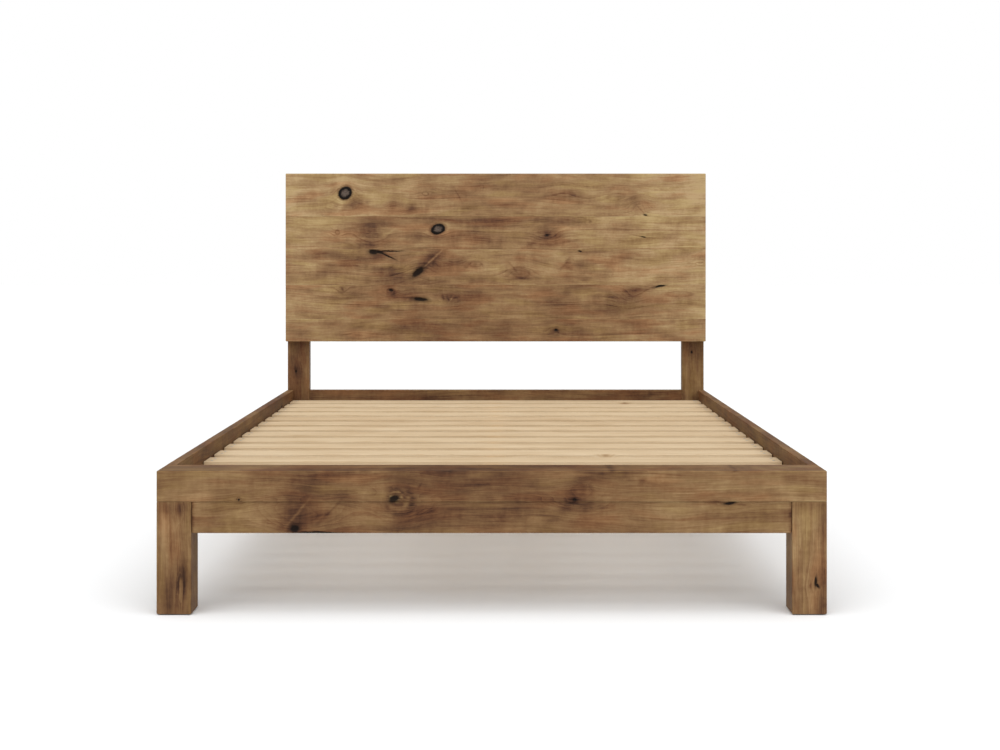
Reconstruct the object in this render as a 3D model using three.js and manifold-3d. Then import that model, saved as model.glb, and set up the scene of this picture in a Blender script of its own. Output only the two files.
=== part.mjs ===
// A queen-size platform bed frame in solid wood: a plank headboard on two posts, a heavy front beam
// that lies on two square legs, side rails, slats, and a centre beam with its own adjustable leg.
// Millimetres, +Z up. The front of the bed faces -Y and the headboard stands at +Y.
// The origin is on the floor, under the middle of the frame's bounding box.

import * as THREE from 'three';
import { RoundedBoxGeometry } from 'three/addons/geometries/RoundedBoxGeometry.js';
import { mergeVertices } from 'three/addons/utils/BufferGeometryUtils.js';
import Module from 'manifold-3d';

// ---- Driving dimensions ----

const INCH = 25.4;

const overallWidth = 65 * INCH;
const railTop = 14 * INCH; // top of the front beam and of the side rails
const legWidth = 3.375 * INCH; // of the front legs and of the posts
const legDepth = 3.25 * INCH;
const boardThickness = 1 * INCH; // side rails, inner foot rail and head cross rail
const plankThickness = 1.75 * INCH; // headboard boards, posts and lower front rail

const beamHeight = 3 * INCH;
const beamDepth = 4.25 * INCH;
const lowerRailHeight = 78;
const lowerRailReveal = 3; // the lower rail sits this far behind the beam's face

const mattressLength = 80 * INCH;
const mattressSlack = 24; // free length between the beam and the headboard, past the mattress

const headboardBoardWidths = [89, 134, 139, 130, 168]; // lowest board first
const headboardBottom = 550;
const postReveal = 2; // the posts stop this far inside the headboard's ends
const postBelowTop = 30;
const battenWidth = 70;
const battenThickness = 19;
const battenOffset = 260; // from the middle of the bed to a batten's centreline
const battenInset = 30; // from the headboard's top and bottom edges to a batten's ends

const slatCount = 14;
const slatWidth = 3.5 * INCH;
const slatThickness = 0.75 * INCH;
const slatEndGap = 2;
const slatBelowRailTop = 38; // depth of the recess that keeps the mattress in place
const ledgerThickness = 1 * INCH;
const ledgerHeight = 38;
const ledgerEndGap = 66; // leaves room for the corner brackets

const centreBeamWidth = 1.5 * INCH;
const centreBeamHeight = 3.5 * INCH;
const centreLegSize = 2 * INCH;
const centreLegBottom = 26;
const centreLegPlateThickness = 3;
const centreLegPlateLength = 3 * INCH;

const footPadRadius = 22;
const footPadHeight = 8;
const footPadTopRadius = 16;
const footPadEdgeHeight = 4;
const footSocketRadius = 7;
const footSocketFloor = 3.5;
const stemFootRadius = 6.4;
const stemRadius = 5; // M10 thread
const stemTop = 62;
const stemHexRadius = 9.2;
const stemHexHeight = 5;
const insertOuterRadius = 9;
const insertHeight = 30;
const insertFlangeRadius = 14;
const insertFlangeHeight = 1.5;
const centreLegBoreDepth = 54;

const glideRadius = 20;
const glideHeight = 2;
const glideChamfer = 1;

const bracketLeg = 60;
const bracketHeight = 84;
const bracketThickness = 3;
const bracketBottom = 208;
const bracketHoleInset = 30;
const boltHoleHeights = { lower: 228, upper: 272 };
const boltRadius = 4; // M8 thread
const boltHoleRadius = 4.4;
const boltHexRadius = 7.5;
const boltHeadHeight = 5.3;
const frontBoltLength = 53;
const rearBoltLength = 38;
const boltTipClearance = 2;

const hangerThickness = 2;
const hangerDepth = 40;
const hangerHeight = 60;
const hangerPlateWidth = 90;

const frameEase = 3; // eased edges of the beam, the legs and the headboard
const railEase = 2;
const slatEase = 1.5;
const gap = 0.3; // between pieces that touch

// ---- Places worked out from the dimensions ----

const headboardHeight = headboardBoardWidths.reduce((sum, width) => sum + width, 0);
const headboardTop = headboardBottom + headboardHeight;
const mattressRoom = mattressLength + mattressSlack;
const overallLength = beamDepth + mattressRoom + 2 * plankThickness;

const halfWidth = overallWidth / 2;
const yFront = -overallLength / 2;
const yLegBack = yFront + legDepth;
const yBeamBack = yFront + beamDepth;
const yPanelFront = yBeamBack + mattressRoom;
const yPostFront = yPanelFront + plankThickness;
const yBack = yPostFront + plankThickness;

const beamBottom = railTop - beamHeight;
const railBottom = beamBottom - lowerRailHeight;
const legBottom = glideHeight + gap;
const slatTop = railTop - slatBelowRailTop;
const ledgerTop = slatTop - slatThickness - gap;
const innerHalf = halfWidth - boardThickness; // inner faces of the side rails
const legInnerX = halfWidth - legWidth;
const postOuterX = halfWidth - postReveal;
const postInnerX = postOuterX - legWidth;

// ---- Materials ----

const WOOD = { roughness: 0.55, metalness: 0 };
const STEEL = { roughness: 0.35, metalness: 1 };
const NYLON = { roughness: 0.6, metalness: 0 };
const boardTones = [0x9c774f, 0x97724c, 0xa27c55, 0x8f6b49, 0xad875c];
const frameTone = 0x98734f;
const hiddenTone = 0x9a764f;
const slatTone = 0xc9a878;
const steelTone = 0xb9bcc0;
const nylonTone = 0x1d1d1f;

function finish(color, kind) {
  return new THREE.MeshStandardMaterial({ color, ...kind });
}

// ---- Boolean cuts ----

const wasm = await Module();
wasm.setup();

function toSolid(geometry) {
  const bare = geometry.clone();
  bare.deleteAttribute('normal');
  bare.deleteAttribute('uv');
  const merged = mergeVertices(bare, 1e-4);
  return new wasm.Manifold(
    new wasm.Mesh({
      numProp: 3,
      vertProperties: new Float32Array(merged.attributes.position.array),
      triVerts: new Uint32Array(merged.index.array),
    }),
  );
}

function toGeometry(solid) {
  const mesh = solid.getMesh();
  const geometry = new THREE.BufferGeometry();
  geometry.setAttribute('position', new THREE.BufferAttribute(mesh.vertProperties, 3));
  geometry.setIndex(new THREE.BufferAttribute(mesh.triVerts, 1));
  geometry.computeVertexNormals();
  return geometry;
}

function subtract(geometry, cutters) {
  let solid = toSolid(geometry);
  for (const cutter of cutters) solid = solid.subtract(toSolid(cutter));
  return toGeometry(solid);
}

function unite(geometries) {
  const [first, ...others] = geometries.map(toSolid);
  return toGeometry(others.reduce((solid, other) => solid.add(other), first));
}

// ---- Shapes ----

function place(name, geometry, material, x, y, z) {
  const mesh = new THREE.Mesh(geometry, material);
  mesh.name = name;
  mesh.position.set(x, y, z);
  return mesh;
}

// A timber that fills the given ranges of x, y and z, with eased edges and any round holes cut in it.
function timber(name, span, ease, tone, { segments = 1, holes = [] } = {}) {
  const size = ['x', 'y', 'z'].map((axis) => span[axis][1] - span[axis][0]);
  const middle = ['x', 'y', 'z'].map((axis) => (span[axis][0] + span[axis][1]) / 2);
  let geometry = new RoundedBoxGeometry(...size, segments, ease);
  if (holes.length > 0) {
    geometry = subtract(
      geometry,
      holes.map((hole) => hole.clone().translate(-middle[0], -middle[1], -middle[2])),
    );
  }
  return place(name, geometry, finish(tone, WOOD), ...middle);
}

function holeAlongY(radius, x, yFrom, yTo, z) {
  const length = Math.abs(yTo - yFrom);
  return new THREE.CylinderGeometry(radius, radius, length, 24).translate(x, (yFrom + yTo) / 2, z);
}

// A turned piece: profile is a list of [radius, height] points, from the bottom of the axis to its top.
function turned(profile, sides) {
  const points = profile.map(([radius, height]) => new THREE.Vector2(radius, height));
  return new THREE.LatheGeometry(points, sides).rotateX(Math.PI / 2);
}

function hexagon(radius, bottom, top) {
  return new THREE.CylinderGeometry(radius, radius, top - bottom, 6)
    .rotateX(Math.PI / 2)
    .translate(0, 0, (bottom + top) / 2);
}

// ---- Headboard ----

// The boards are glued edge to edge and sanded as one panel, so they are sliced from one eased slab.
function headboardBoards() {
  const slab = toSolid(
    new RoundedBoxGeometry(overallWidth, plankThickness, headboardHeight, 2, frameEase),
  );
  const boards = [];
  let bottom = -headboardHeight / 2;
  headboardBoardWidths.forEach((width, index) => {
    const isLowest = index === 0;
    const isHighest = index === headboardBoardWidths.length - 1;
    const low = isLowest ? bottom - 1 : bottom + gap / 2;
    const high = isHighest ? bottom + width + 1 : bottom + width - gap / 2;
    const slice = new THREE.BoxGeometry(2 * overallWidth, 2 * plankThickness, high - low);
    const board = slab.intersect(toSolid(slice.translate(0, 0, (low + high) / 2)));
    boards.push(
      place(
        `headboard_board_${index + 1}`,
        toGeometry(board),
        finish(boardTones[index], WOOD),
        0,
        yPanelFront + plankThickness / 2,
        headboardBottom + headboardHeight / 2,
      ),
    );
    bottom += width;
  });
  return boards;
}

function headboard() {
  const group = new THREE.Group();
  group.add(...headboardBoards());
  const top = headboardTop - postBelowTop;
  for (const [side, sign] of [['left', -1], ['right', 1]]) {
    const span = {
      x: [sign * postInnerX, sign * postOuterX].sort((a, b) => a - b),
      y: [yPostFront + gap, yBack],
      z: [legBottom, top],
    };
    const holes = boltHoles(sign, yPostFront, yPostFront + rearBoltLength);
    group.add(timber(`headboard_post_${side}`, span, frameEase, hiddenTone, { holes }));
    group.add(
      timber(
        `headboard_batten_${side}`,
        {
          x: [sign * battenOffset - battenWidth / 2, sign * battenOffset + battenWidth / 2],
          y: [yPostFront + gap, yPostFront + gap + battenThickness],
          z: [headboardBottom + battenInset, headboardTop - battenInset],
        },
        railEase,
        hiddenTone,
      ),
    );
  }
  group.add(
    timber(
      'head_cross_rail',
      {
        x: [-postInnerX + gap, postInnerX - gap],
        y: [yPostFront + gap, yPostFront + boardThickness],
        z: [railBottom, railTop],
      },
      railEase,
      hiddenTone,
    ),
  );
  return group;
}

// ---- Front of the bed ----

function front() {
  const group = new THREE.Group();
  group.add(
    timber(
      'front_beam',
      { x: [-halfWidth, halfWidth], y: [yFront, yBeamBack], z: [beamBottom, railTop] },
      frameEase,
      frameTone,
      { segments: 2 },
    ),
    timber(
      'front_lower_rail',
      {
        x: [-legInnerX + gap, legInnerX - gap],
        y: [yFront + lowerRailReveal, yFront + lowerRailReveal + plankThickness],
        z: [railBottom, beamBottom - gap],
      },
      railEase,
      frameTone,
      { segments: 2 },
    ),
    timber(
      'foot_inner_rail',
      {
        x: [-halfWidth, halfWidth],
        y: [yLegBack + gap, yBeamBack - gap],
        z: [railBottom, beamBottom - gap],
      },
      railEase,
      hiddenTone,
      { holes: [-1, 1].flatMap((sign) => boltHoles(sign, yBeamBack + 1, yLegBack - 1)) },
    ),
  );
  const holeEnd = yBeamBack + bracketThickness + gap - frontBoltLength - boltTipClearance;
  for (const [side, sign] of [['left', -1], ['right', 1]]) {
    group.add(
      timber(
        `front_leg_${side}`,
        {
          x: [sign * legInnerX, sign * halfWidth].sort((a, b) => a - b),
          y: [yFront, yLegBack],
          z: [legBottom, beamBottom - gap],
        },
        frameEase,
        frameTone,
        { segments: 2, holes: boltHoles(sign, yLegBack + 1, holeEnd) },
      ),
    );
  }
  return group;
}

// ---- Side rails with their slat ledgers ----

function sides() {
  const group = new THREE.Group();
  for (const [side, sign] of [['left', -1], ['right', 1]]) {
    const inner = sign * innerHalf;
    group.add(
      timber(
        `side_rail_${side}`,
        {
          x: [inner, sign * halfWidth].sort((a, b) => a - b),
          y: [yBeamBack + gap, yPostFront],
          z: [railBottom, railTop],
        },
        railEase,
        frameTone,
      ),
      timber(
        `slat_ledger_${side}`,
        {
          x: [inner - sign * gap, inner - sign * ledgerThickness].sort((a, b) => a - b),
          y: [yBeamBack + ledgerEndGap, yPostFront - ledgerEndGap],
          z: [ledgerTop - ledgerHeight, ledgerTop],
        },
        slatEase,
        slatTone,
      ),
    );
  }
  return group;
}

// ---- Slats ----

function slats() {
  const group = new THREE.Group();
  const pitch = (yPostFront - yBeamBack) / slatCount;
  for (let index = 0; index < slatCount; index += 1) {
    const middle = yBeamBack + (index + 0.5) * pitch;
    group.add(
      timber(
        `slat_${String(index + 1).padStart(2, '0')}`,
        {
          x: [-innerHalf + slatEndGap, innerHalf - slatEndGap],
          y: [middle - slatWidth / 2, middle + slatWidth / 2],
          z: [slatTop - slatThickness, slatTop],
        },
        slatEase,
        slatTone,
      ),
    );
  }
  return group;
}

// ---- Centre beam, its hangers and its leg ----

// A steel stirrup that holds one end of the centre beam, with a plate that is screwed to the rail.
// Its plate is at y = 0 and the stirrup points along +y.
function hangerGeometry() {
  const inside = centreBeamWidth + 2 * gap;
  const outside = inside + 2 * hangerThickness;
  const plate = new THREE.BoxGeometry(hangerPlateWidth, hangerThickness, hangerHeight);
  const block = new THREE.BoxGeometry(outside, hangerDepth, hangerHeight);
  const slot = new THREE.BoxGeometry(inside, hangerDepth, hangerHeight);
  const middle = hangerHeight / 2;
  return subtract(
    unite([
      plate.translate(0, hangerThickness / 2, middle),
      block.translate(0, hangerDepth / 2, middle),
    ]),
    [slot.translate(0, hangerDepth / 2 + hangerThickness, middle + hangerThickness)],
  );
}

function centreLegGeometry(bottom, top) {
  const post = new RoundedBoxGeometry(centreLegSize, centreLegSize, top - bottom, 1, railEase);
  const bore = boreFromBelow(insertOuterRadius + gap, centreLegBoreDepth);
  return subtract(post.translate(0, 0, (top + bottom) / 2), [bore.translate(0, 0, bottom)]);
}

// A round bore that opens downwards at z = 0 and is as deep as given.
function boreFromBelow(radius, depth) {
  return turned([[0, -1], [radius, -1], [radius, depth], [0, depth]], 24);
}

function insertGeometry() {
  const inner = stemRadius + gap;
  return turned(
    [
      [inner, -insertFlangeHeight],
      [insertFlangeRadius, -insertFlangeHeight],
      [insertFlangeRadius, 0],
      [insertOuterRadius, 0],
      [insertOuterRadius, insertHeight],
      [inner, insertHeight],
      [inner, -insertFlangeHeight],
    ],
    24,
  );
}

function stemGeometry() {
  const bottom = footSocketFloor + gap;
  const hexBottom = footPadHeight + gap;
  const stem = turned(
    [
      [0, bottom],
      [stemFootRadius, bottom],
      [stemFootRadius, hexBottom + 1],
      [stemRadius, hexBottom + 1],
      [stemRadius, stemTop],
      [0, stemTop],
    ],
    20,
  );
  return unite([stem, hexagon(stemHexRadius, hexBottom, hexBottom + stemHexHeight)]);
}

function padGeometry() {
  return turned(
    [
      [0, 0],
      [footPadRadius, 0],
      [footPadRadius, footPadEdgeHeight],
      [footPadTopRadius, footPadHeight],
      [footSocketRadius, footPadHeight],
      [footSocketRadius, footSocketFloor],
      [0, footSocketFloor],
    ],
    32,
  );
}

function centre() {
  const group = new THREE.Group();
  const beamTop = ledgerTop;
  const beamUnderside = beamTop - centreBeamHeight;
  const middle = (yBeamBack + yPostFront) / 2;
  const endGap = hangerThickness + 2 * gap;
  group.add(
    timber(
      'centre_beam',
      {
        x: [-centreBeamWidth / 2, centreBeamWidth / 2],
        y: [yBeamBack + endGap, yPostFront - endGap],
        z: [beamUnderside, beamTop],
      },
      slatEase,
      slatTone,
    ),
  );
  const hangerBottom = beamUnderside - gap - hangerThickness;
  const frontHanger = place(
    'centre_beam_hanger_front',
    hangerGeometry(),
    finish(steelTone, STEEL),
    0,
    yBeamBack + gap,
    hangerBottom,
  );
  const rearHanger = place(
    'centre_beam_hanger_rear',
    hangerGeometry(),
    finish(steelTone, STEEL),
    0,
    yPostFront - gap,
    hangerBottom,
  );
  rearHanger.rotation.z = Math.PI;
  group.add(frontHanger, rearHanger);

  const plateTop = beamUnderside - gap;
  const plateBottom = plateTop - centreLegPlateThickness;
  const leg = new THREE.Group();
  leg.position.y = middle;
  leg.add(
    place(
      'centre_leg_plate',
      new RoundedBoxGeometry(
        centreLegSize,
        centreLegPlateLength,
        centreLegPlateThickness,
        1,
        1,
      ),
      finish(steelTone, STEEL),
      0,
      0,
      (plateTop + plateBottom) / 2,
    ),
    place(
      'centre_leg',
      centreLegGeometry(centreLegBottom, plateBottom - gap),
      finish(slatTone, WOOD),
      0,
      0,
      0,
    ),
    place(
      'centre_leg_insert',
      insertGeometry(),
      finish(steelTone, STEEL),
      0,
      0,
      centreLegBottom - gap,
    ),
    place('levelling_foot_stem', stemGeometry(), finish(steelTone, STEEL), 0, 0, 0),
    place('levelling_foot_pad', padGeometry(), finish(nylonTone, NYLON), 0, 0, 0),
  );
  group.add(leg);
  return group;
}

// ---- Corner brackets and bolts ----

// Holes for the two bolts of the corner on the side given by sign.
function boltHoles(sign, yFrom, yTo) {
  const x = sign * (innerHalf - gap - bracketHoleInset);
  return Object.values(boltHoleHeights).map((z) => holeAlongY(boltHoleRadius, x, yFrom, yTo, z));
}

// A steel angle with its corner at the origin: one plate runs along x and one along y,
// towards the sides that signX and signY give. The plate along x has the two bolt holes.
function bracketGeometry(signX, signY) {
  const corners = [
    [0, 0],
    [bracketLeg, 0],
    [bracketLeg, bracketThickness],
    [bracketThickness, bracketThickness],
    [bracketThickness, bracketLeg],
    [0, bracketLeg],
  ];
  const outline = new THREE.Shape(
    corners.map(([x, y]) => new THREE.Vector2(signX * x, signY * y)),
  );
  const angle = new THREE.ExtrudeGeometry(outline, { depth: bracketHeight, bevelEnabled: false });
  const x = signX * bracketHoleInset;
  const reach = 2 * bracketThickness;
  return subtract(
    angle,
    Object.values(boltHoleHeights).map((z) =>
      holeAlongY(boltHoleRadius, x, -reach, reach, z - bracketBottom),
    ),
  );
}

// A hexagon bolt along +y: the underside of its head is at y = 0.
function boltGeometry(length) {
  const head = new THREE.CylinderGeometry(boltHexRadius, boltHexRadius, boltHeadHeight, 6);
  const shank = new THREE.CylinderGeometry(boltRadius, boltRadius, length + 1, 16);
  return unite([
    head.translate(0, -boltHeadHeight / 2, 0),
    shank.translate(0, (length - 1) / 2, 0),
  ]);
}

function corner(end, side) {
  const group = new THREE.Group();
  const signX = side === 'left' ? 1 : -1;
  const signY = end === 'front' ? 1 : -1;
  const y = end === 'front' ? yBeamBack + gap : yPostFront - gap;
  const x = -signX * (innerHalf - gap);
  group.add(
    place(
      `corner_bracket_${end}_${side}`,
      bracketGeometry(signX, signY),
      finish(steelTone, STEEL),
      x,
      y,
      bracketBottom,
    ),
  );
  const length = end === 'front' ? frontBoltLength : rearBoltLength - boltTipClearance;
  for (const [level, z] of Object.entries(boltHoleHeights)) {
    const bolt = place(
      `bolt_${end}_${side}_${level}`,
      boltGeometry(length),
      finish(steelTone, STEEL),
      x + signX * bracketHoleInset,
      y + signY * (bracketThickness + gap),
      z,
    );
    bolt.rotation.z = end === 'front' ? Math.PI : 0;
    group.add(bolt);
  }
  return group;
}

function corners() {
  const group = new THREE.Group();
  for (const end of ['front', 'rear']) {
    for (const side of ['left', 'right']) group.add(corner(end, side));
  }
  return group;
}

// ---- Glides under the corner legs ----

function glides() {
  const group = new THREE.Group();
  const profile = [
    [0, 0],
    [glideRadius - glideChamfer, 0],
    [glideRadius, glideChamfer],
    [glideRadius, glideHeight],
    [0, glideHeight],
  ];
  const middles = {
    front: { x: (halfWidth + legInnerX) / 2, y: (yFront + yLegBack) / 2 },
    rear: { x: (postOuterX + postInnerX) / 2, y: (yPostFront + gap + yBack) / 2 },
  };
  for (const [end, { x, y }] of Object.entries(middles)) {
    for (const [side, sign] of [['left', -1], ['right', 1]]) {
      const material = finish(nylonTone, NYLON);
      group.add(place(`glide_${end}_${side}`, turned(profile, 32), material, sign * x, y, 0));
    }
  }
  return group;
}

const bedFrame = new THREE.Group();
bedFrame.add(headboard(), front(), sides(), slats(), centre(), corners(), glides());

export default bedFrame;
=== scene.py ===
"""The looks of a queen platform bed frame in knotty stained wood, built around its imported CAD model.

The model is in metres, +Z up, and the front of the bed faces -Y. Wood is worked out in millimetres along,
across and through each timber, so its grain, knots and end grain are one solid pattern.
"""

import math
from collections import namedtuple

import bmesh
import bpy
import numpy as np
from mathutils import Matrix, Vector


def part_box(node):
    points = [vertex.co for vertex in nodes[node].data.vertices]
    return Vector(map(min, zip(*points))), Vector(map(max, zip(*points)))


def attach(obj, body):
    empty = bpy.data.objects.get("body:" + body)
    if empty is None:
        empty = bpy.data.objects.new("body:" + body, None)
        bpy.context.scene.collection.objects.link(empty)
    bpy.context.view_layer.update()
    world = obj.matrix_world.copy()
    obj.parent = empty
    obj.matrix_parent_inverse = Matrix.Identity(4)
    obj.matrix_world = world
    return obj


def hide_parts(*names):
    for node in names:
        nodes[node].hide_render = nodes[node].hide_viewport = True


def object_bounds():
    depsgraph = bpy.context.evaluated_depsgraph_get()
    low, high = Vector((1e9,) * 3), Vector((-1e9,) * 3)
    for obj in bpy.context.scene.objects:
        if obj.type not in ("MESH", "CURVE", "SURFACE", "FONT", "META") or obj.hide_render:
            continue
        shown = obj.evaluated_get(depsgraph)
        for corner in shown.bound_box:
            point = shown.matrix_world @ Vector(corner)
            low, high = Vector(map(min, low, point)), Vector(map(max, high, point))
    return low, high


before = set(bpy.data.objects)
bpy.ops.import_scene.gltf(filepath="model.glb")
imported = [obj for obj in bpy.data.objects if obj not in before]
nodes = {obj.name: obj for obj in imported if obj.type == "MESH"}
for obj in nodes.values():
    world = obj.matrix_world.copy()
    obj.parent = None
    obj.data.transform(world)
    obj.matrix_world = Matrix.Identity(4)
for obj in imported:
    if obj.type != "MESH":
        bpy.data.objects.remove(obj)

cad_low, cad_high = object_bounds()


# ---- Camera ----

CAMERA_BEFORE_BED = 3.630
CAMERA_RIGHT = 0.026
CAMERA_HEIGHT = 0.882
CAMERA_LENS = 53.1  # mm, on a 36 mm sensor
CAMERA_SHIFT = (-0.0023, -0.118)


def add_object(name, data):
    added = bpy.data.objects.new(name, data)
    bpy.context.scene.collection.objects.link(added)
    return added


def make_camera():
    data = bpy.data.cameras.new("camera")
    data.lens = CAMERA_LENS
    data.sensor_width = 36
    data.shift_x, data.shift_y = CAMERA_SHIFT
    camera = add_object("camera", data)
    camera.location = (CAMERA_RIGHT, cad_low.y - CAMERA_BEFORE_BED, CAMERA_HEIGHT)
    camera.rotation_euler = (math.radians(90), 0, 0)
    bpy.context.scene.camera = camera


# ---- Material nodes ----

BUMP_STRENGTH, SHEEN = 0.6, 0.10


class Field:
    """A value that varies over a surface: one node's output, which arithmetic extends with new nodes."""

    def __init__(self, tree, socket):
        self.tree, self.socket = tree, socket

    def math(self, operation, *others, clamp=False):
        return add_node(self.tree, "ShaderNodeMath", self, *others, operation=operation, use_clamp=clamp)

    def __add__(self, other):
        return self.math("ADD", other)

    def __sub__(self, other):
        return self.math("SUBTRACT", other)

    def __mul__(self, other):
        return self.math("MULTIPLY", other)

    def smooth(self, start, end):
        """0 up to start and 1 from end on, with a soft step between them."""
        return add_node(
            self.tree, "ShaderNodeMapRange", self, start, end, 0.0, 1.0, interpolation_type="SMOOTHSTEP"
        )


def add_node(tree, kind, *inputs, output=0, **settings):
    """Adds a node and returns one output. Inputs fill its sockets in order, and None leaves one as it is."""
    node = tree.nodes.new(kind)
    for name, value in settings.items():
        setattr(node, name, value)
    for socket, value in zip(node.inputs, inputs):
        if isinstance(value, Field):
            tree.links.new(value.socket, socket)
        elif value is not None:
            socket.default_value = value
    return Field(tree, node.outputs[output])


def linear(red, green, blue):
    """A colour given as 0 to 255 screen values, as the linear values that a shader takes."""
    values = (red / 255, green / 255, blue / 255)
    return [v / 12.92 if v <= 0.04045 else ((v + 0.055) / 1.055) ** 2.4 for v in values] + [1.0]


def mix_colours(factor, first, second, blend="MIX"):
    vector_and_number_inputs = [None] * 5
    return add_node(
        factor.tree, "ShaderNodeMix", factor, *vector_and_number_inputs, first, second,
        output=2, data_type="RGBA", blend_type=blend,
    )


def ramp(field, stops, output=0, interpolation="LINEAR"):
    """Colours (or greys) along a field, from stops of (position, colour)."""
    result = add_node(field.tree, "ShaderNodeValToRGB", field, output=output)
    colours = result.socket.node.color_ramp
    colours.interpolation = interpolation
    for index, (position, colour) in enumerate(stops):
        element = colours.elements[index] if index < 2 else colours.elements.new(position)
        element.position = position
        element.color = colour
    return result


def noise(place, size, seed=0.0, detail=2.0, roughness=0.5, output=0):
    """Cloudy noise about 0.5, whose clouds are size millimetres along, across and through."""
    scaled = add_node(
        place.tree, "ShaderNodeMapping", place, (seed, seed * 0.37, -seed * 0.61), None,
        [1 / length for length in size],
    )
    return add_node(
        place.tree, "ShaderNodeTexNoise", scaled, None, 1.0, detail, roughness, output=output
    )


def new_material(name):
    material = bpy.data.materials.new(name)
    material.use_nodes = True
    return material, material.node_tree, material.node_tree.nodes["Principled BSDF"]


def millimetres(tree, axes):
    """The place on the piece in millimetres, with its axes in the order along, across, through."""
    place = add_node(tree, "ShaderNodeTexCoord", output=3)
    scaled = add_node(tree, "ShaderNodeMapping", place, None, None, (1000, 1000, 1000))
    split = add_node(tree, "ShaderNodeSeparateXYZ", scaled)
    parts = [Field(tree, split.socket.node.outputs[axis]) for axis in axes]
    return parts, add_node(tree, "ShaderNodeCombineXYZ", *parts)


def arrises(place, low, high, reach):
    """1 on the long edges of a box from low to high, in millimetres, falling to 0 at reach from them."""
    tree = place.tree
    middle = [(a + b) / 2 for a, b in zip(low, high)]
    half = [(b - a) / 2 for a, b in zip(low, high)]
    offset = add_node(tree, "ShaderNodeVectorMath", place, middle, operation="SUBTRACT")
    size = add_node(tree, "ShaderNodeVectorMath", offset, operation="ABSOLUTE")
    depth = add_node(tree, "ShaderNodeVectorMath", size, half, operation="SUBTRACT")
    split = add_node(tree, "ShaderNodeSeparateXYZ", depth).socket.node
    near = [Field(tree, socket).smooth(-reach, -0.4) for socket in split.outputs]
    pairs = [near[0] * near[1], near[1] * near[2], near[2] * near[0]]
    return pairs[0].math("MAXIMUM", pairs[1]).math("MAXIMUM", pairs[2])


# ---- Stained wood ----

# Every mark is (along, across, half length, half width, tilt in degrees), in millimetres on the timber's
# face. knots have a black ring round a greyed heart, darks are black cracks and dead knots, and eyes only
# bend the grain. rings are broken outlines, and stains are soft patches: real stains, and also
# painted shade on the front beam's top face, the front legs' inner faces and the lower rail's ends at the
# legs.
# These two add how much they darken, or lighten below 0. drift is (along, tone) over the timber's length, and
# shade multiplies each of its colours.
Timber = namedtuple(
    "Timber", "axes seed pith ring shade drift knots darks rings eyes stains", defaults=([], [], [], [], [])
)
ALONG_X, ALONG_Y, ALONG_Z = (0, 2, 1), (1, 2, 0), (2, 0, 1)
MARK_DEPTH = 1600.0  # the marks' half size through the timber, so that they run right through it
PANEL_SHADE, BEAM_SHADE, SIDE_SHADE = (0.935, 0.94, 0.97), (0.65, 0.60, 0.565), (0.72, 0.68, 0.645)

STAINED_TONES = [
    (0.00, linear(66, 45, 32)),
    (0.14, linear(94, 67, 49)),
    (0.28, linear(113, 82, 57)),
    (0.42, linear(128, 97, 67)),
    (0.55, linear(142, 110, 76)),
    (0.68, linear(154, 123, 86)),
    (0.82, linear(167, 137, 97)),
    (1.00, linear(186, 158, 116)),
]
RED_TINT, OLIVE_TINT = linear(255, 240, 236), linear(253, 255, 243)
KNOT_TONES = [
    (0.00, linear(112, 100, 92)),
    (0.13, linear(70, 61, 56)),
    (0.25, linear(108, 96, 88)),
    (0.38, linear(80, 68, 60)),
    (0.43, linear(20, 15, 12)),
    (0.50, linear(14, 9, 7)),
    (0.56, linear(62, 42, 30)),
]
KNOT_COVER = [(0.0, 1.0), (0.51, 1.0), (0.56, 0.35), (0.64, 0.0)]
DARK_TONES = [(0.0, linear(9, 6, 4)), (0.5, linear(22, 14, 10)), (1.0, linear(64, 42, 28))]
DARK_COVER = [(0.0, 1.0), (0.42, 0.96), (0.54, 0.4), (0.78, 0.0)]

HEAD_DRIFT = {
    5: [(-825, 0.90), (-690, 0.75), (-540, 0.76), (-440, 0.80), (-260, 0.65), (-60, 0.62), (120, 0.62),
        (330, 0.72), (520, 0.73), (640, 0.86), (825, 0.96)],
    4: [(-825, 0.72), (-640, 0.74), (-420, 0.60), (-250, 0.56), (0, 0.52), (160, 0.62), (300, 0.68),
        (460, 0.76), (825, 0.84)],
    3: [(-825, 0.70), (-680, 0.70), (-560, 0.63), (-420, 0.45), (-250, 0.46), (-120, 0.62), (100, 0.72),
        (330, 0.67), (520, 0.78), (825, 0.90)],
    2: [(-825, 0.74), (-560, 0.64), (-330, 0.50), (-80, 0.46), (120, 0.58), (330, 0.53), (450, 0.48),
        (560, 0.61), (700, 0.66), (825, 0.88)],
    1: [(-825, 0.70), (-500, 0.60), (-200, 0.50), (200, 0.54), (500, 0.60), (825, 0.72)],
}
BEAM_DRIFT = [
    (-825, 0.70), (-700, 0.69), (-600, 0.71), (-500, 0.62), (-400, 0.56), (-300, 0.60), (-170, 0.38),
    (0, 0.43), (90, 0.46), (200, 0.54), (320, 0.60), (420, 0.72), (640, 0.76), (825, 0.80),
]

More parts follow.
